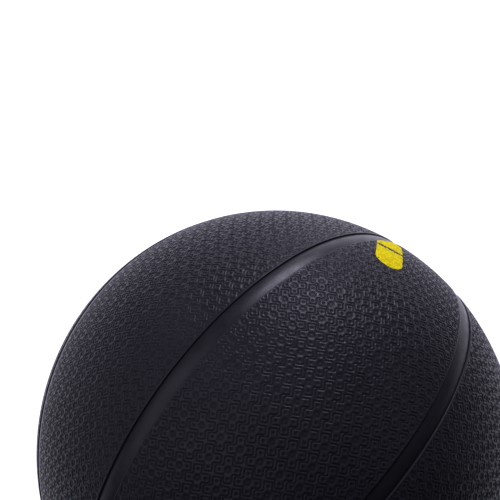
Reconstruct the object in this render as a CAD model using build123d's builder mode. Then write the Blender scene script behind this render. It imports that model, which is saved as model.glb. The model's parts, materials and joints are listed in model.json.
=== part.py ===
from build123d import *
from math import asin, cos, degrees, radians, sin, sqrt, tan
import os

# Medicine ball, 230 mm across, in millimetres.
# Origin at the ball's centre. X runs through the two poles, with the valve at +X, and +Z is up.
# Each cover panel is a lune from pole to pole, and panel 1 is centred on +Z.

BALL_R = 115.0
PANEL_COUNT = 8
PANEL_PITCH = 360.0 / PANEL_COUNT

# Cover: textured panels, with a smooth rubber strip in each channel and a disc at each pole.
COVER_THICKNESS = 3.0
CHANNEL_WIDTH = 7.0
STRIP_EDGE_DEPTH = 0.8
STRIP_MID_DEPTH = 0.35
PANEL_EDGE_ROUND = 0.45
HUB_R = 14.0
HUB_DEPTH = 0.7
HUB_EDGE_ROUND = 0.3

# Layers under the cover, from the outside in.
CARCASS_THICKNESS = 2.0
WINDING_THICKNESS = 1.0
WALL_THICKNESS = 11.1
BLADDER_THICKNESS = 1.6

CARCASS_R = BALL_R - COVER_THICKNESS
WINDING_R = CARCASS_R - CARCASS_THICKNESS
WALL_R = WINDING_R - WINDING_THICKNESS
BLADDER_R = WALL_R - WALL_THICKNESS
CAVITY_R = BLADDER_R - BLADDER_THICKNESS

# Valve at the +X pole: a stem through every layer, with a needle bore and a self-sealing plug.
STEM_R = 5.0
STEM_INNER_X = 86.0
FLANGE_R = 13.0
FLANGE_THICKNESS = 2.0
MOUTH_DEPTH = 0.9
FUNNEL_R = 2.4
FUNNEL_LENGTH = 1.4
NEEDLE_BORE_R = 1.2
NEEDLE_BORE_LENGTH = 9.0
PLUG_R = 3.0
PLUG_LENGTH = 15.0
SLIT_WIDTH = 3.0
SLIT_GAP = 0.3
AIRWAY_R = 1.5
PATCH_R = 21.0
PATCH_THICKNESS = 1.0

MOUTH_X = BALL_R - MOUTH_DEPTH
BORE_OUTER_X = MOUTH_X - FUNNEL_LENGTH
PLUG_OUTER_X = BORE_OUTER_X - NEEDLE_BORE_LENGTH
PLUG_INNER_X = PLUG_OUTER_X - PLUG_LENGTH

# Printed mark on panel 1: a plain rounded lozenge, split in two by a thin gap.
INK_THICKNESS = 0.12
MARK_POLE_ANGLE = 39.1
MARK_LUNE_ANGLE = 13.4
MARK_TURN = 25.0
MARK_LENGTH = 40.0
MARK_WIDTH = 13.2
MARK_GAP = 2.4

os.makedirs("parts", exist_ok=True)


def shell_profile(outer_r, inner_r):
    """A spherical shell's half section, from pole to pole along the X axis."""
    with BuildSketch() as profile:
        with BuildLine():
            outer = CenterArc((0, 0), outer_r, 0, 180)
            inner = CenterArc((0, 0), inner_r, 0, 180)
            Line(outer @ 0, inner @ 0)
            Line(outer @ 1, inner @ 1)
        make_face()
    return profile.sketch


def wedge_profile(margin):
    """Panel 1's wedge seen along the pole axis, pulled in by a margin."""
    half_angle = radians(PANEL_PITCH / 2)
    apex = (CHANNEL_WIDTH / 2 + margin) / sin(half_angle)
    reach = BALL_R * 1.3
    spread = reach * tan(half_angle)
    with BuildSketch() as profile:
        with BuildLine():
            Polyline((0, apex), (spread, apex + reach), (-spread, apex + reach), close=True)
        make_face()
    return profile.sketch


# Eight lune panels: a shell cut to a wedge that leaves half a channel on each side, with a blunt
# tip at each hub and a rounded outer edge.
for number in range(1, PANEL_COUNT + 1):
    panel_turn = (1 - number) * PANEL_PITCH
    with BuildPart() as panel:
        with BuildSketch(Plane.XZ):
            add(shell_profile(BALL_R, CARCASS_R))
        revolve(axis=Axis.X)
        with BuildSketch(Plane.YZ):
            add(wedge_profile(margin=0), rotation=panel_turn)
        extrude(amount=BALL_R, both=True, mode=Mode.INTERSECT)
        with BuildSketch(Plane.YZ):
            Circle(HUB_R)
        extrude(amount=BALL_R, both=True, mode=Mode.SUBTRACT)
        outer_face = panel.faces().sort_by(SortBy.AREA)[-1]
        fillet(outer_face.edges(), PANEL_EDGE_ROUND)
    panel.part.label = f"cover_panel_{number}"
    export_step(panel.part, f"parts/{panel.part.label}.step")

# Eight channel strips: a crowned cross-section swept along a meridian from hub to hub.
for number in range(1, PANEL_COUNT + 1):
    crossways = Plane.XY.rotated(((0.5 - number) * PANEL_PITCH, 0, 0))
    with BuildPart() as strip:
        with BuildSketch(crossways):
            half = CHANNEL_WIDTH / 2
            edge_r = BALL_R - STRIP_EDGE_DEPTH
            middle_r = BALL_R - STRIP_MID_DEPTH
            base_r = sqrt(CARCASS_R**2 - half**2)
            with BuildLine():
                Line((base_r, -half), (edge_r, -half))
                ThreePointArc((edge_r, -half), (middle_r, 0), (edge_r, half))
                Line((edge_r, half), (base_r, half))
                ThreePointArc((base_r, half), (CARCASS_R, 0), (base_r, -half))
            make_face()
        revolve(axis=Axis((0, 0, 0), crossways.y_dir), revolution_arc=-180)
        with BuildSketch(Plane.YZ):
            Circle(HUB_R)
        extrude(amount=BALL_R, both=True, mode=Mode.SUBTRACT)
    strip.part.label = f"channel_strip_{number}"
    export_step(strip.part, f"parts/{strip.part.label}.step")

# Two pole discs: the plain one, and the valve one with a hole for the stem.
for label, hole_r, side in (("valve_hub", STEM_R, 1), ("plain_hub", 0, -1)):
    with BuildPart() as hub:
        with BuildSketch(Plane.XZ):
            add(shell_profile(BALL_R - HUB_DEPTH, CARCASS_R))
        revolve(axis=Axis.X)
        with BuildSketch(Plane.YZ):
            Circle(HUB_R)
            if hole_r:
                Circle(hole_r, mode=Mode.SUBTRACT)
        extrude(amount=side * BALL_R, mode=Mode.INTERSECT)
        circles = hub.edges().filter_by(GeomType.CIRCLE)
        rims = circles.filter_by(lambda edge: abs(edge.radius - HUB_R) < 0.01)
        outer_rim = rims.sort_by(lambda edge: abs(edge.center().X))[-1]
        fillet(outer_rim, HUB_EDGE_ROUND)
    hub.part.label = label
    export_step(hub.part, f"parts/{label}.step")

# Layers that come as two half shells, split on the plane square to the axis named with them. The
# stem passes through a hole at the +X pole.
for label, outer_r, inner_r, split_plane in (
    ("carcass_half", CARCASS_R, WINDING_R, Plane.XZ),
    ("weighted_wall_half", WALL_R, BLADDER_R, Plane.XY),
):
    for number, kept_side in ((1, Keep.TOP), (2, Keep.BOTTOM)):
        with BuildPart() as half_shell:
            with BuildSketch(Plane.XZ):
                add(shell_profile(outer_r, inner_r))
            revolve(axis=Axis.X)
            with BuildSketch(Plane.YZ):
                Circle(STEM_R)
            extrude(amount=BALL_R, mode=Mode.SUBTRACT)
            split(bisect_by=split_plane, keep=kept_side)
        half_shell.part.label = f"{label}_{number}"
        export_step(half_shell.part, f"parts/{label}_{number}.step")

# Whole layers: the nylon thread winding, and the butyl bladder that holds the air.
for label, outer_r, inner_r in (
    ("thread_winding", WINDING_R, WALL_R),
    ("bladder", BLADDER_R, CAVITY_R),
):
    with BuildPart() as layer:
        with BuildSketch(Plane.XZ):
            add(shell_profile(outer_r, inner_r))
        revolve(axis=Axis.X)
        with BuildSketch(Plane.YZ):
            Circle(STEM_R)
        extrude(amount=BALL_R, mode=Mode.SUBTRACT)
    layer.part.label = label
    export_step(layer.part, f"parts/{label}.step")

# Patch ring that stiffens the bladder around the valve flange, on the inside.
with BuildPart() as bladder_patch:
    with BuildSketch(Plane.XZ):
        add(shell_profile(CAVITY_R, CAVITY_R - PATCH_THICKNESS))
    revolve(axis=Axis.X)
    with BuildSketch(Plane.YZ):
        Circle(PATCH_R)
        Circle(FLANGE_R, mode=Mode.SUBTRACT)
    extrude(amount=BALL_R, mode=Mode.INTERSECT)
bladder_patch.part.label = "bladder_patch"
export_step(bladder_patch.part, "parts/bladder_patch.step")

# Valve housing: a turned stem with a flange inside the bladder, a funnel mouth and a needle bore,
# then a wider pocket for the plug and a small airway into the bladder.
with BuildPart() as valve_housing:
    with BuildSketch(Plane.XZ):
        stem_angle = degrees(asin(STEM_R / CAVITY_R))
        flange_angle = degrees(asin(FLANGE_R / CAVITY_R))
        flange_back_x = sqrt(CAVITY_R**2 - FLANGE_R**2) - FLANGE_THICKNESS
        with BuildLine():
            flange_top = CenterArc((0, 0), CAVITY_R, stem_angle, flange_angle - stem_angle)
            Polyline((MOUTH_X, 0), (MOUTH_X, STEM_R), flange_top @ 0)
            Polyline(
                flange_top @ 1,
                (flange_back_x, FLANGE_R),
                (flange_back_x, STEM_R),
                (STEM_INNER_X, STEM_R),
                (STEM_INNER_X, 0),
                (MOUTH_X, 0),
            )
        make_face()
    revolve(axis=Axis.X)
    with BuildSketch(Plane.XZ):
        with BuildLine():
            Polyline(
                (MOUTH_X, 0),
                (MOUTH_X, FUNNEL_R),
                (BORE_OUTER_X, NEEDLE_BORE_R),
                (PLUG_OUTER_X, NEEDLE_BORE_R),
                (PLUG_OUTER_X, PLUG_R),
                (PLUG_INNER_X, PLUG_R),
                (PLUG_INNER_X, AIRWAY_R),
                (STEM_INNER_X, AIRWAY_R),
                (STEM_INNER_X, 0),
                close=True,
            )
        make_face()
    revolve(axis=Axis.X, mode=Mode.SUBTRACT)
valve_housing.part.label = "valve_housing"
export_step(valve_housing.part, "parts/valve_housing.step")

# Self-sealing plug: a soft cylinder in the housing's pocket, with a slit that the needle parts.
with BuildPart() as valve_plug:
    with BuildSketch(Plane.YZ.offset(PLUG_INNER_X)):
        Circle(PLUG_R)
        Rectangle(SLIT_GAP, SLIT_WIDTH, mode=Mode.SUBTRACT)
    extrude(amount=PLUG_LENGTH)
valve_plug.part.label = "valve_plug"
export_step(valve_plug.part, "parts/valve_plug.step")

# Two halves of the printed mark: a thin skin of ink on panel 1, inside the panel's rounded edge.
pole_angle = radians(MARK_POLE_ANGLE)
lune_angle = radians(MARK_LUNE_ANGLE)
mark_out = Vector(cos(pole_angle), sin(pole_angle) * sin(lune_angle), sin(pole_angle) * cos(lune_angle))
to_pole = Vector(1, 0, 0) - mark_out * mark_out.X
mark_plane = Plane(origin=mark_out * CARCASS_R, x_dir=to_pole, z_dir=mark_out).rotated((0, 0, MARK_TURN))
for number, side, corner in ((1, -1, Align.MAX), (2, 1, Align.MIN)):
    with BuildPart() as print_half:
        with BuildSketch(Plane.XZ):
            add(shell_profile(BALL_R + INK_THICKNESS, BALL_R))
        revolve(axis=Axis.X)
        with BuildSketch(mark_plane):
            SlotOverall(MARK_LENGTH, MARK_WIDTH)
            with Locations((side * MARK_GAP / 2, 0)):
                Rectangle(MARK_LENGTH, MARK_WIDTH, align=(corner, Align.CENTER), mode=Mode.INTERSECT)
        extrude(amount=2 * COVER_THICKNESS, mode=Mode.INTERSECT)
        with BuildSketch(Plane.YZ):
            add(wedge_profile(margin=PANEL_EDGE_ROUND))
        extrude(amount=BALL_R, mode=Mode.INTERSECT)
    print_half.part.label = f"mark_print_{number}"
    export_step(print_half.part, f"parts/mark_print_{number}.step")
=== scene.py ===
import json
from math import cos, pi, radians, sin, sqrt

import bmesh
import bpy
import numpy as np
from mathutils import Matrix, Vector


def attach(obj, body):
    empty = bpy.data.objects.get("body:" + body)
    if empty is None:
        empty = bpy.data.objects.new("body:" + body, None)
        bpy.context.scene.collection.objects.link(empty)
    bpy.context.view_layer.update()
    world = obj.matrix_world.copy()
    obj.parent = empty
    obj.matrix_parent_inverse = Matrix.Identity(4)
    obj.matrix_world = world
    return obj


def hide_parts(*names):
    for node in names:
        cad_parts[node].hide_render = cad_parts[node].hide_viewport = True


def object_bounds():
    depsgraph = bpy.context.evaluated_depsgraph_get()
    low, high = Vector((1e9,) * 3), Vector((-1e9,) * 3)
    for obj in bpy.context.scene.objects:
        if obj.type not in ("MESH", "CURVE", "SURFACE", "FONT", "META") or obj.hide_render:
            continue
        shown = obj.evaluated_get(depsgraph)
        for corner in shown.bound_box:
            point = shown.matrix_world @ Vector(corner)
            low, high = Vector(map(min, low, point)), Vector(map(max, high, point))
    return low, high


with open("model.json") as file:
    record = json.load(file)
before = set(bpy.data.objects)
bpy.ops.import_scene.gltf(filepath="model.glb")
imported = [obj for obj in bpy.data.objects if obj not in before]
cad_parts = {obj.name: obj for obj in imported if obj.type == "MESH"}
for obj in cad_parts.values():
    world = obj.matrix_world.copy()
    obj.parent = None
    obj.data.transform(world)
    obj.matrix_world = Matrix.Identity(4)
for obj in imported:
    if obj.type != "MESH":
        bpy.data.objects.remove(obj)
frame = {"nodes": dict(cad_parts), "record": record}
cad_low, cad_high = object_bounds()

# ---------------------------------------------------------------------------------------------
# Sizes, in metres, in the row frame: X runs through the poles and panel 1 is centred on +Z.
# ---------------------------------------------------------------------------------------------

MM = 0.001
BALL_R = cad_high[2]
PANEL_COUNT = 8
PANEL_PITCH = 2 * pi / PANEL_COUNT
CHANNEL_HALF = 3.5 * MM
STRIP_EDGE_DEPTH = 0.8 * MM
STRIP_MID_DEPTH = 0.35 * MM
COVER_THICKNESS = 3.0 * MM
CARCASS_R = BALL_R - COVER_THICKNESS
HUB_R = 14.0 * MM
EDGE_ROUND = 0.45 * MM

# Grip pattern: grooves that outline plus-shaped clusters of five cells, with a pit in each arm
# and a ring in the sunk middle cell. It has one pitch and turn on every panel. Lengths that end
# in _SHARE are shares of a cell.
CELL_PITCH = 3.92 * MM
CELL_TURN = radians(36.3)
CELL_TICKS = (-0.5, -0.43, -0.36, -0.28, -0.2, -0.1, 0.0, 0.1, 0.2, 0.28, 0.36, 0.43)
CLUSTER_OFFSET = (0.0, 0.415)
CORNER_SHARE = 0.18
FILLET_SHARE = 0.22
GROOVE_HALF_SHARE = 0.12
GROOVE_DEPTH = 0.34 * MM
ARM_REACH_SHARE = 1.27
ARM_HALF_SHARE = 0.42
ARM_PIT_SHARE = 0.86
PIT_R_SHARE = 0.24
PIT_FLOOR_SHARE = 0.08
PIT_DEPTH = 0.28 * MM
MIDDLE_HALF_SHARE = 0.40
MIDDLE_WALL_SHARE = 0.06
MIDDLE_RING_SHARE = 0.22
MIDDLE_DEPTH = 0.13 * MM
RING_DEPTH = 0.20 * MM
PATTERN_FADE = 0.8 * MM

# The hidden underside of a panel is a plain coarse grid, set in from the edge.
UNDERSIDE_STEP = 4.0 * MM
UNDERSIDE_INSET = 1.2 * MM

# Printed mark, as in the CAD: a rounded lozenge with a thin gap across it.
MARK_POLE_ANGLE = radians(39.1)
MARK_LUNE_ANGLE = radians(13.4)
MARK_TURN = radians(25.0)
MARK_HALF_LENGTH = 20.0 * MM
MARK_HALF_WIDTH = 6.6 * MM
MARK_HALF_GAP = 1.2 * MM
INK_THICKNESS = 0.05 * MM
INK_SUNK_SHARE = 0.2


# ---------------------------------------------------------------------------------------------
# Mesh helpers
# ---------------------------------------------------------------------------------------------

def smoothstep(low, high, value):
    t = np.clip((value - low) / (high - low), 0.0, 1.0)
    return t * t * (3.0 - 2.0 * t)


def new_object(name, bm_or_mesh, slot, *replaced):
    """Makes an object of a mesh, rides it on the ball and hides the CAD nodes it stands for."""
    mesh = bm_or_mesh
    if isinstance(bm_or_mesh, bmesh.types.BMesh):
        mesh = bpy.data.meshes.new(name)
        bm_or_mesh.to_mesh(mesh)
        bm_or_mesh.free()
    piece = bpy.data.objects.new(name, mesh)
    bpy.context.scene.collection.objects.link(piece)
    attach(piece, "root")
    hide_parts(*replaced)
    return piece


def vertex_array(bm):
    return np.array([v.co[:] for v in bm.verts])


def set_vertices(bm, points):
    for vertex, point in zip(bm.verts, points):
        vertex.co = point


def drop_loose(bm):
    loose = [v for v in bm.verts if not v.link_faces]
    bmesh.ops.delete(bm, geom=loose, context="VERTS")


def smooth_outwards(bm):
    """Points every face outwards and shades it smoothly."""
    bmesh.ops.recalc_face_normals(bm, faces=bm.faces[:])
    for face in bm.faces:
        face.smooth = True


# ---------------------------------------------------------------------------------------------
# Grip pattern
# ---------------------------------------------------------------------------------------------

def rounded_box(x, y, half_x, half_y, corner):
    """Signed distance to a rounded box's outline, negative inside."""
    qx, qy = np.abs(x) - (half_x - corner), np.abs(y) - (half_y - corner)
    return np.hypot(np.maximum(qx, 0), np.maximum(qy, 0)) + np.minimum(np.maximum(qx, qy), 0) - corner


def plus_distance(x, y):
    """Signed distance to the outline of a plus shape with filleted inner corners."""
    lengthways = rounded_box(x, y, ARM_REACH_SHARE, ARM_HALF_SHARE, CORNER_SHARE)
    crossways = rounded_box(x, y, ARM_HALF_SHARE, ARM_REACH_SHARE, CORNER_SHARE)
    share = np.clip(0.5 + 0.5 * (crossways - lengthways) / FILLET_SHARE, 0, 1)
    return crossways * (1 - share) + lengthways * share - FILLET_SHARE * share * (1 - share)


def groove(distance):
    """1 along a line and 0 from half a groove's width away, for signed distances to the line."""
    return smoothstep(GROOVE_HALF_SHARE, 0.0, np.abs(distance))


def cell_relief(x, y):
    """Height of the grip pattern, zero on the land and negative in the grooves and pits. x and y
    are distances along the surface from the panel's centre."""
    u = (x * cos(CELL_TURN) + y * sin(CELL_TURN)) / CELL_PITCH - CLUSTER_OFFSET[0]
    v = (y * cos(CELL_TURN) - x * sin(CELL_TURN)) / CELL_PITCH - CLUSTER_OFFSET[1]
    column, row = np.floor(u + 0.5), np.floor(v + 0.5)
    # The cluster's middle cells have kind 0, and its arms kinds 1 east, 2 north, 3 south, 4 west.
    kind = np.mod(column + 2 * row, 5)
    from_middle_u = u - column + (kind == 1) - (kind == 4)
    from_middle_v = v - row + (kind == 2) - (kind == 3)
    from_middle = np.hypot(from_middle_u, from_middle_v)
    middle_cell = rounded_box(
        from_middle_u, from_middle_v, MIDDLE_HALF_SHARE, MIDDLE_HALF_SHARE, CORNER_SHARE
    )

    height = -GROOVE_DEPTH * groove(plus_distance(from_middle_u, from_middle_v))
    height -= MIDDLE_DEPTH * smoothstep(MIDDLE_WALL_SHARE, -MIDDLE_WALL_SHARE, middle_cell)
    height -= RING_DEPTH * groove(from_middle - MIDDLE_RING_SHARE)
    for arm_u, arm_v in ((1, 0), (-1, 0), (0, 1), (0, -1)):
        reach_u = from_middle_u - arm_u * ARM_PIT_SHARE
        reach_v = from_middle_v - arm_v * ARM_PIT_SHARE
        from_pit = np.hypot(reach_u, reach_v)
        height -= PIT_DEPTH * smoothstep(PIT_R_SHARE, PIT_FLOOR_SHARE, from_pit)
    return height


def panel_relief(points):
    """The grip pattern's height over panel 1 for unit vectors, faded out along the panel's edge."""
    polar = np.arccos(np.clip(points[:, 2], -1, 1))
    flat = np.hypot(points[:, 0], points[:, 1]) + 1e-12
    x = points[:, 0] / flat * polar * BALL_R
    y = points[:, 1] / flat * polar * BALL_R
    inset = np.minimum(side_distance(points), hub_distance(points))
    fade = smoothstep(EDGE_ROUND, EDGE_ROUND + PATTERN_FADE, inset)
    return cell_relief(x, y) * fade


# ---------------------------------------------------------------------------------------------
# Panels
# ---------------------------------------------------------------------------------------------

HALF_PITCH = PANEL_PITCH / 2
SIDE_NORMALS = [Vector((0, s * cos(HALF_PITCH), -sin(HALF_PITCH))) for s in (1, -1)]


def side_distance(points):
    """How far unit vectors lie inside panel 1's two long edges."""
    reach = [-(points @ np.array(normal)) * BALL_R - CHANNEL_HALF for normal in SIDE_NORMALS]
    return np.minimum(*reach)


def hub_distance(points):
    """How far unit vectors lie outside the two pole discs."""
    return np.hypot(points[:, 1], points[:, 2]) * BALL_R - HUB_R


def clip(bm, point, normal):
    """Cuts away what lies on the normal's side of a plane."""
    everything = bm.verts[:] + bm.edges[:] + bm.faces[:]
    bmesh.ops.bisect_plane(
        bm, geom=everything, plane_co=point, plane_no=normal, clear_outer=True, dist=1e-7
    )


def turned_grid(step, shares, reach_x, reach_y):
    """A square grid around panel 1's middle, turned with the grip pattern, with a line at each of
    the shares of each step. Returns its x and y along the surface and its unit vectors."""
    count = int(np.hypot(reach_x, reach_y) / step) + 1
    ticks = np.add.outer(np.arange(-count, count + 1), shares).ravel()
    u, v = np.meshgrid(*((ticks + offset) * step for offset in CLUSTER_OFFSET), indexing="ij")
    x = u * cos(CELL_TURN) - v * sin(CELL_TURN)
    y = u * sin(CELL_TURN) + v * cos(CELL_TURN)
    flat = np.hypot(x, y)
    polar = np.minimum(flat / BALL_R, pi)
    ratio = np.where(flat > 1e-9, np.sin(polar) / np.maximum(flat, 1e-9), 1 / BALL_R)
    return x, y, np.stack([x * ratio, y * ratio, np.cos(polar)], -1)


def grid_quads(kept):
    """The quads between a grid's kept points, by their numbers among the kept points."""
    index = np.full(kept.shape, -1)
    index[kept] = np.arange(kept.sum())
    quads = np.stack([index[:-1, :-1], index[1:, :-1], index[1:, 1:], index[:-1, 1:]], -1)
    quads = quads.reshape(-1, 4)
    return quads[(quads >= 0).all(axis=1)]


def lune_patch(step, shares, inset):
    """Panel 1's area on the unit sphere as a grid, cut back by an inset from its edges."""
    reach_x, reach_y = BALL_R * pi / 2, BALL_R * PANEL_PITCH * 0.55
    x, y, points = turned_grid(step, shares, reach_x, reach_y)
    rows = points.reshape(-1, 3)
    # The margin leaves whole quads past the outline for the cuts to trim.
    margin = 2.5 * step / sqrt(len(shares))
    kept = (side_distance(rows) > inset - margin) & (hub_distance(rows) > inset - margin)
    kept = kept.reshape(x.shape) & (np.abs(y) < reach_y) & (np.hypot(x, y) < reach_x)
    mesh = bpy.data.meshes.new("lune_patch")
    mesh.from_pydata(points[kept].tolist(), [], grid_quads(kept).tolist())
    bm = bmesh.new()
    bm.from_mesh(mesh)
    bpy.data.meshes.remove(mesh)
    side_shift = (CHANNEL_HALF + inset) / BALL_R
    for normal in SIDE_NORMALS:
        clip(bm, normal * -side_shift, normal)
    hub_x = sqrt(1 - ((HUB_R + inset) / BALL_R) ** 2)
    for sign in (1, -1):
        clip(bm, Vector((sign * hub_x, 0, 0)), Vector((sign, 0, 0)))
    drop_loose(bm)
    return bm


def rim_points(points, radius, inset):
    """Moves unit vectors of panel 1's outline to a radius and an inset from the panel's edges."""
    on_side = [
        np.abs(points @ np.array(normal) * BALL_R + CHANNEL_HALF) < 2 * EDGE_ROUND
        for normal in SIDE_NORMALS
    ]
    on_hub = np.abs(hub_distance(points)) < 2 * EDGE_ROUND
    placed = points * radius
    hub_r = HUB_R + inset
    across = placed[:, 1:] / np.hypot(placed[:, 1], placed[:, 2])[:, None]
    hub_points = np.column_stack([np.sign(points[:, 0]) * sqrt(radius**2 - hub_r**2), across * hub_r])
    placed = np.where(on_hub[:, None], hub_points, placed)
    side_offset = CHANNEL_HALF + inset
    for normal, chosen in zip(SIDE_NORMALS, on_side):
        normal = np.array(normal)
        along = placed - np.outer(placed @ normal, normal)
        turned = np.where(on_hub, sqrt(hub_r**2 - side_offset**2), np.nan)
        flat = np.hypot(along[:, 1], along[:, 2])
        corner = along.copy()
        corner[:, 1:] *= (turned / flat)[:, None]
        free = along / np.linalg.norm(along, axis=1)[:, None] * sqrt(radius**2 - side_offset**2)
        moved = np.where(on_hub[:, None], corner, free) - normal * side_offset
        placed = np.where(chosen[:, None], moved, placed)
    return placed


def outline_edges(bm):
    return [edge for edge in bm.edges if edge.is_boundary]


def add_walls(bm):
    """Extrudes the outline of panel 1's top into a rounded edge and straight walls."""
    rings = []
    for turn in np.linspace(0, pi / 2, 5)[1:]:
        rings.append((EDGE_ROUND * (1 - cos(turn)), EDGE_ROUND * (1 - sin(turn))))
    rings += [(COVER_THICKNESS * share, 0.0) for share in (0.45, 1.0)]
    for depth, inset in rings:
        made = bmesh.ops.extrude_edge_only(bm, edges=outline_edges(bm))
        ring = [v for v in made["geom"] if isinstance(v, bmesh.types.BMVert)]
        directions = np.array([v.co.normalized()[:] for v in ring])
        for vertex, point in zip(ring, rim_points(directions, BALL_R - depth, inset)):
            vertex.co = point
    for edge in outline_edges(bm):
        edge.smooth = False


def add_underside(bm):
    """Closes panel 1 with a plain underside, bridged to the foot of its walls."""
    under = lune_patch(UNDERSIDE_STEP, (0.0,), UNDERSIDE_INSET)
    set_vertices(under, vertex_array(under) * CARCASS_R)
    under_mesh = bpy.data.meshes.new("under")
    under.to_mesh(under_mesh)
    under.free()
    bm.from_mesh(under_mesh)
    bpy.data.meshes.remove(under_mesh)
    bmesh.ops.bridge_loops(bm, edges=outline_edges(bm))


def panel_mesh():
    """Panel 1 as a mesh, and a copy of its top with the grip pattern for the printed mark."""
    bm = lune_patch(CELL_PITCH, CELL_TICKS, EDGE_ROUND)
    points = vertex_array(bm)
    set_vertices(bm, points * (BALL_R + panel_relief(points))[:, None])
    top = bm.copy()
    add_walls(bm)
    add_underside(bm)
    smooth_outwards(bm)
    mesh = bpy.data.meshes.new("cover_panel")
    bm.to_mesh(mesh)
    bm.free()
    return mesh, top


def make_panels():
    mesh, top = panel_mesh()
    panels = []
    for number in range(1, PANEL_COUNT + 1):
        turned = mesh.copy()
        turned.transform(Matrix.Rotation((1 - number) * PANEL_PITCH, 4, "X"))
        name = f"cover_panel_{number}"
        panels.append(new_object(f"{name}_skin", turned, "cover_rubber", name))
    bpy.data.meshes.remove(mesh)
    return panels, top


# ---------------------------------------------------------------------------------------------
# Printed mark
# ---------------------------------------------------------------------------------------------

def mark_axes():
    """The mark's outward, lengthways and crossways directions."""
    out = Vector((
        cos(MARK_POLE_ANGLE),
        sin(MARK_POLE_ANGLE) * sin(MARK_LUNE_ANGLE),
        sin(MARK_POLE_ANGLE) * cos(MARK_LUNE_ANGLE),
    ))
    to_pole = (Vector((1, 0, 0)) - out * out.x).normalized()
    sideways = out.cross(to_pole)
    length = to_pole * cos(MARK_TURN) + sideways * sin(MARK_TURN)
    return out, length, out.cross(length)


def make_mark(top):
    """Two thin skins of ink that follow the grip pattern, each cut to half of the lozenge."""
    out, length, across = mark_axes()
    cap_reach = MARK_HALF_LENGTH - MARK_HALF_WIDTH
    cap_steps = 24
    pieces = []
    for number, side in ((1, -1), (2, 1)):
        bm = top.copy()
        set_vertices(bm, [v.co.normalized() for v in bm.verts])
        far = [v for v in bm.verts if (v.co - out).length > 1.3 * MARK_HALF_LENGTH / BALL_R]
        bmesh.ops.delete(bm, geom=far, context="VERTS")
        clip(bm, length * side * MARK_HALF_GAP / BALL_R, -length * side)
        for step in range(cap_steps + 1):
            turn = pi * step / cap_steps - pi / 2
            normal = length * side * cos(turn) + across * sin(turn)
            edge = length * side * cap_reach + normal * MARK_HALF_WIDTH
            clip(bm, edge / BALL_R, normal)
        drop_loose(bm)
        points = vertex_array(bm)
        surface = BALL_R + panel_relief(points)
        set_vertices(bm, points * (surface - INK_THICKNESS * INK_SUNK_SHARE)[:, None])
        made = bmesh.ops.extrude_face_region(bm, geom=bm.faces[:])
        for vertex in made["geom"]:
            if isinstance(vertex, bmesh.types.BMVert):
                vertex.co += vertex.co.normalized() * INK_THICKNESS
        smooth_outwards(bm)
        name = f"mark_print_{number}"
        pieces.append(new_object(f"{name}_skin", bm, "print_ink", name))
    top.free()
    return pieces


# ---------------------------------------------------------------------------------------------
# Channel strips
# ---------------------------------------------------------------------------------------------

def strip_mesh():
    """One smooth strip along the meridian over +Z, crowned across and cut round at the pole discs."""
    top_steps, length_steps = 14, 360
    edge_r, middle_r = BALL_R - STRIP_EDGE_DEPTH, BALL_R - STRIP_MID_DEPTH
    section = [(-CHANNEL_HALF, sqrt(CARCASS_R**2 - CHANNEL_HALF**2))]
    for step in range(top_steps + 1):
        share = 2 * step / top_steps - 1
        section.append((share * CHANNEL_HALF, middle_r + (edge_r - middle_r) * share**2))
    section.append((CHANNEL_HALF, sqrt(CARCASS_R**2 - CHANNEL_HALF**2)))
    section.append((0.0, CARCASS_R))
    points, faces = [], []
    for offset, reach in section:
        start = np.arcsin(sqrt(HUB_R**2 - offset**2) / reach)
        for angle in np.linspace(start, pi - start, length_steps + 1):
            points.append((reach * cos(angle), offset, reach * sin(angle)))
    row = length_steps + 1
    count = len(section)
    for line in range(count):
        after = (line + 1) % count
        for step in range(length_steps):
            near, far = line * row + step, after * row + step
            faces.append((near, near + 1, far + 1, far))
    for end in (0, length_steps):
        faces.append([line * row + end for line in range(count)])
    mesh = bpy.data.meshes.new("channel_strip")
    mesh.from_pydata(points, [], faces)
    bm = bmesh.new()
    bm.from_mesh(mesh)
    bmesh.ops.recalc_face_normals(bm, faces=bm.faces[:])
    for face in bm.faces:
        face.smooth = len(face.verts) == 4
    for edge in bm.edges:
        edge.smooth = edge.calc_face_angle(0) < radians(40)
    bm.to_mesh(mesh)
    bm.free()
    return mesh


def make_strips():
    mesh = strip_mesh()
    strips = []
    for number in range(1, PANEL_COUNT + 1):
        turned = mesh.copy()
        turned.transform(Matrix.Rotation((0.5 - number) * PANEL_PITCH, 4, "X"))
        name = f"channel_strip_{number}"
        strips.append(new_object(f"{name}_skin", turned, "channel_rubber", name))
    bpy.data.meshes.remove(mesh)
    return strips


# ---------------------------------------------------------------------------------------------
# Materials
# ---------------------------------------------------------------------------------------------

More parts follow.
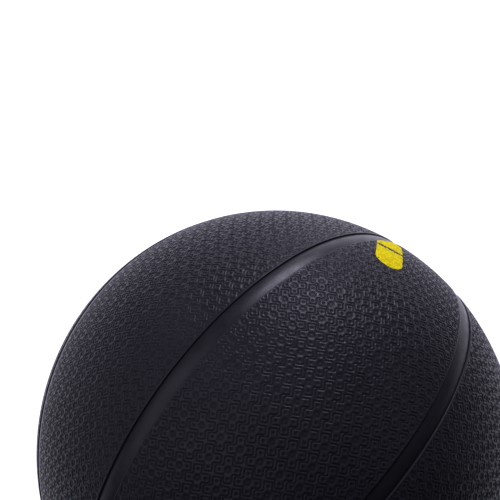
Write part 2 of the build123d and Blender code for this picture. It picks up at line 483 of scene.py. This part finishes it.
class Shader:
    """A node material with one Principled shader, and short calls to add and join nodes."""

    def __init__(self, name, roughness, **values):
        self.material = bpy.data.materials.new(name)
        self.material.use_nodes = True
        self.tree = self.material.node_tree
        self.principled = self.tree.nodes["Principled BSDF"]
        self.principled.inputs["Roughness"].default_value = roughness
        for key, value in values.items():
            self.principled.inputs[key.replace("_", " ")].default_value = value
        self.coordinates = self.tree.nodes.new("ShaderNodeTexCoord").outputs["Object"]

    def add(self, kind, links=(), **values):
        node = self.tree.nodes.new(kind)
        for key, value in values.items():
            setattr(node, key, value)
        for socket, source in dict(links).items():
            if isinstance(source, bpy.types.NodeSocket):
                self.tree.links.new(source, node.inputs[socket])
            else:
                node.inputs[socket].default_value = source
        return node

    def noise(self, scale, detail=2.0, roughness=0.5):
        links = {"Vector": self.coordinates, "Scale": scale, "Detail": detail, "Roughness": roughness}
        return self.add("ShaderNodeTexNoise", links).outputs["Fac"]

    def between(self, value, from_low, from_high, to_low, to_high):
        links = {0: value, 1: from_low, 2: from_high, 3: to_low, 4: to_high}
        return self.add("ShaderNodeMapRange", links).outputs[0]

    def math(self, operation, first, second=0.0):
        return self.add("ShaderNodeMath", {0: first, 1: second}, operation=operation).outputs[0]

    def blend(self, share, first, second):
        node = self.add("ShaderNodeMix", {0: share, 6: first, 7: second}, data_type="RGBA")
        return node.outputs[2]

    def depth_below(self, radius, span):
        """0 at a radius from the ball's centre and 1 a span below it."""
        length = self.add("ShaderNodeVectorMath", {0: self.coordinates}, operation="LENGTH")
        return self.between(length.outputs["Value"], radius - span, radius, 1.0, 0.0)

    def set(self, socket, source):
        self.tree.links.new(source, self.principled.inputs[socket])

    def bump(self, height, distance, strength=1.0):
        links = {"Height": height, "Distance": distance, "Strength": strength}
        self.set("Normal", self.add("ShaderNodeBump", links).outputs["Normal"])


def rubber(name, dark, light, roughness, grain_scale, grain_height, **values):
    """Moulded rubber: cloudy tone, uneven dullness and a fine grain."""
    shader = Shader(name, roughness, **values)
    clouds = shader.noise(38.0, 5.0, 0.6)
    shader.set("Base Color", shader.blend(shader.between(clouds, 0.35, 0.65, 0, 1), dark, light))
    scuffs = shader.noise(160.0, 4.0, 0.7)
    shader.set("Roughness", shader.between(scuffs, 0.3, 0.7, roughness - 0.07, roughness + 0.07))
    shader.bump(shader.noise(grain_scale, 3.0, 0.6), grain_height)
    return shader


def cover_rubber():
    """The panels: polished a little on the land, duller in the grooves and pits, and darker there
    with painted shade in the colour.
    """
    shader = Shader("cover_rubber", 0.5)
    clouds = shader.between(shader.noise(30.0, 5.0, 0.6), 0.35, 0.65, 0, 1)
    tone = shader.blend(clouds, (0.0100, 0.0096, 0.0121, 1), (0.0132, 0.0127, 0.0158, 1))
    depth = shader.depth_below(BALL_R, GROOVE_DEPTH)
    # Painted shade: the colour darkens towards near-black with the depth below the land, in the
    # grooves and pits.
    shade = shader.math("MULTIPLY", depth, 0.2)
    shader.set("Base Color", shader.blend(shade, tone, (0.0035, 0.0033, 0.0045, 1)))
    uneven = shader.between(shader.noise(650.0, 3.0, 0.6), 0.35, 0.65, -0.09, 0.09)
    shader.set("Specular IOR Level", shader.between(depth, 0.1, 0.9, 0.072, 0.030))
    dull = shader.between(depth, 0.0, 1.0, 0.34, 0.45)
    shader.set("Roughness", shader.math("ADD", dull, uneven))
    shader.bump(shader.noise(2600.0, 3.0, 0.6), 0.00004)
    return shader.material


def print_ink():
    """Opaque yellow ink, darker in the grooves and pits with painted shade in the colour."""
    shader = Shader("print_ink", 0.6, Specular_IOR_Level=0.02)
    clouds = shader.between(shader.noise(120.0, 4.0, 0.6), 0.35, 0.65, 0, 1)
    tone = shader.blend(clouds, (0.46, 0.38, 0.001, 1), (0.53, 0.44, 0.002, 1))
    depth = shader.depth_below(BALL_R, GROOVE_DEPTH)
    # Painted shade: the yellow darkens with the depth below the land, in the grooves and pits.
    shade = shader.math("MULTIPLY", depth, 0.5)
    shader.set("Base Color", shader.blend(shade, tone, (0.34, 0.27, 0.001, 1)))
    shader.set("Roughness", shader.between(shader.noise(300.0, 3.0, 0.6), 0.3, 0.7, 0.52, 0.66))
    shader.bump(shader.noise(2600.0, 3.0, 0.6), 0.00003)
    return shader.material


def nylon_thread():
    """Pale threads wound in two crossing directions."""
    shader = Shader("nylon_thread", 0.6, Sheen_Weight=0.3)
    bands = []
    for direction in ("X", "Y"):
        wave = shader.add(
            "ShaderNodeTexWave",
            {"Vector": shader.coordinates, "Scale": 420.0, "Distortion": 1.5, "Detail": 1.0},
            bands_direction=direction,
        )
        bands.append(wave.outputs["Fac"])
    threads = shader.math("MAXIMUM", *bands)
    shader.set("Base Color", shader.blend(threads, (0.30, 0.28, 0.23, 1), (0.62, 0.59, 0.52, 1)))
    shader.bump(threads, 0.0002)
    return shader.material


def grey(value, blue=1.0):
    """A dark neutral tone, with more blue where that is above 1."""
    return (value, value * 0.97, value * blue, 1)


def rubber_materials():
    """A rubber for each record slot that needs one. Each row has the slot's name, its dark and
    light tones, roughness, grain scale and grain height."""
    rows = (
        ("channel_rubber", grey(0.0060, 1.25), grey(0.0085, 1.25), 0.37, 2400.0, 0.00003),
        ("hub_rubber", grey(0.0060, 1.25), grey(0.0085, 1.25), 0.44, 2200.0, 0.00003),
        ("carcass_rubber", grey(0.020), grey(0.034), 0.62, 900.0, 0.00008),
        ("wall_rubber", grey(0.030), grey(0.052), 0.70, 700.0, 0.0001),
        ("bladder_butyl", grey(0.012), grey(0.019), 0.34, 1500.0, 0.00003),
        ("valve_rubber", grey(0.022), grey(0.034), 0.40, 3000.0, 0.00002),
        ("plug_rubber", (0.36, 0.24, 0.11, 1), (0.48, 0.33, 0.16, 1), 0.50, 1800.0, 0.00003),
    )
    return {row[0]: rubber(*row, Specular_IOR_Level=0.13).material for row in rows}


def dress(piece, material):
    piece.data.materials.clear()
    piece.data.materials.append(material)


# ---------------------------------------------------------------------------------------------
# Room: floor, lights and camera
# ---------------------------------------------------------------------------------------------

# The camera stands nearly over the ball and looks a little past it. Places are in ball radii.
CAMERA_PLACE = Vector((-0.6173, -0.0883, 3.9507))
CAMERA_LOOK = Vector((0.28598, 0.17958, -0.94126))
CAMERA_UP = Vector((0.6909, 0.6420, 0.3324))
CAMERA_LENS = 65.5


def facing(look, up):
    """A rotation for a camera or lamp that looks along one direction, with another upwards."""
    back = -look.normalized()
    right = up.cross(back).normalized()
    return Matrix((right, back.cross(right), back)).transposed().to_4x4()


def make_camera():
    camera = bpy.data.objects.new("camera", bpy.data.cameras.new("camera"))
    bpy.context.scene.collection.objects.link(camera)
    camera.matrix_world = Matrix.Translation(CAMERA_PLACE * BALL_R) @ facing(CAMERA_LOOK, CAMERA_UP)
    camera.data.lens = CAMERA_LENS
    camera.data.clip_start = 0.01
    bpy.context.scene.camera = camera


def make_floor():
    bm = bmesh.new()
    bmesh.ops.create_grid(bm, x_segments=8, y_segments=8, size=6.0)
    mesh = bpy.data.meshes.new("floor")
    bm.to_mesh(mesh)
    bm.free()
    floor = bpy.data.objects.new("floor", mesh)
    floor.location.z = cad_low[2]
    bpy.context.scene.collection.objects.link(floor)
    shader = Shader("floor_paint", 0.8, Emission_Color=(0.88, 0.87, 1, 1), Emission_Strength=0.42)
    shade = shader.between(shader.noise(3.0, 3.0, 0.5), 0.3, 0.7, 0.0, 1.0)
    shader.set("Base Color", shader.blend(shade, (0.90, 0.90, 0.90, 1), (0.93, 0.93, 0.93, 1)))
    dress(floor, shader.material)


COOL_WHITE = (0.82, 0.80, 1.0)


def soft_light(name, towards, distance, size, power):
    """A square soft box that lights the ball from a direction."""
    lamp = bpy.data.lights.new(name, "AREA")
    lamp.shape = "SQUARE"
    lamp.size = size
    lamp.energy = power
    lamp.color = COOL_WHITE
    lamp_object = bpy.data.objects.new(name, lamp)
    bpy.context.scene.collection.objects.link(lamp_object)
    towards = towards.normalized()
    turn = facing(-towards, Vector((0, 0, 1)))
    lamp_object.matrix_world = Matrix.Translation(towards * distance) @ turn


def make_lights():
    soft_light("key", Vector((0.78, 0.45, 0.50)), distance=1.2, size=0.45, power=20.5)
    soft_light("fill", Vector((-0.42, 0.50, 0.76)), distance=1.5, size=1.5, power=16.0)
    world = bpy.data.worlds.new("studio")
    bpy.context.scene.world = world
    world.use_nodes = True
    background = world.node_tree.nodes["Background"]
    background.inputs["Color"].default_value = (1, 1, 1, 1)
    background.inputs["Strength"].default_value = 0.05


# ---------------------------------------------------------------------------------------------
# Build
# ---------------------------------------------------------------------------------------------

bpy.context.scene.view_settings.view_transform = "Standard"

materials = rubber_materials()
materials["nylon_thread"] = nylon_thread()
for entry in frame["record"]["subparts"]:
    slot_material = materials.get(entry["material_slot"])
    if slot_material:
        dress(frame["nodes"][entry["node"]], slot_material)

panels, panel_top = make_panels()
panel_material = cover_rubber()
for panel in panels:
    dress(panel, panel_material)

ink = print_ink()
for mark in make_mark(panel_top):
    dress(mark, ink)

for strip in make_strips():
    dress(strip, materials["channel_rubber"])

make_floor()
make_lights()
make_camera()
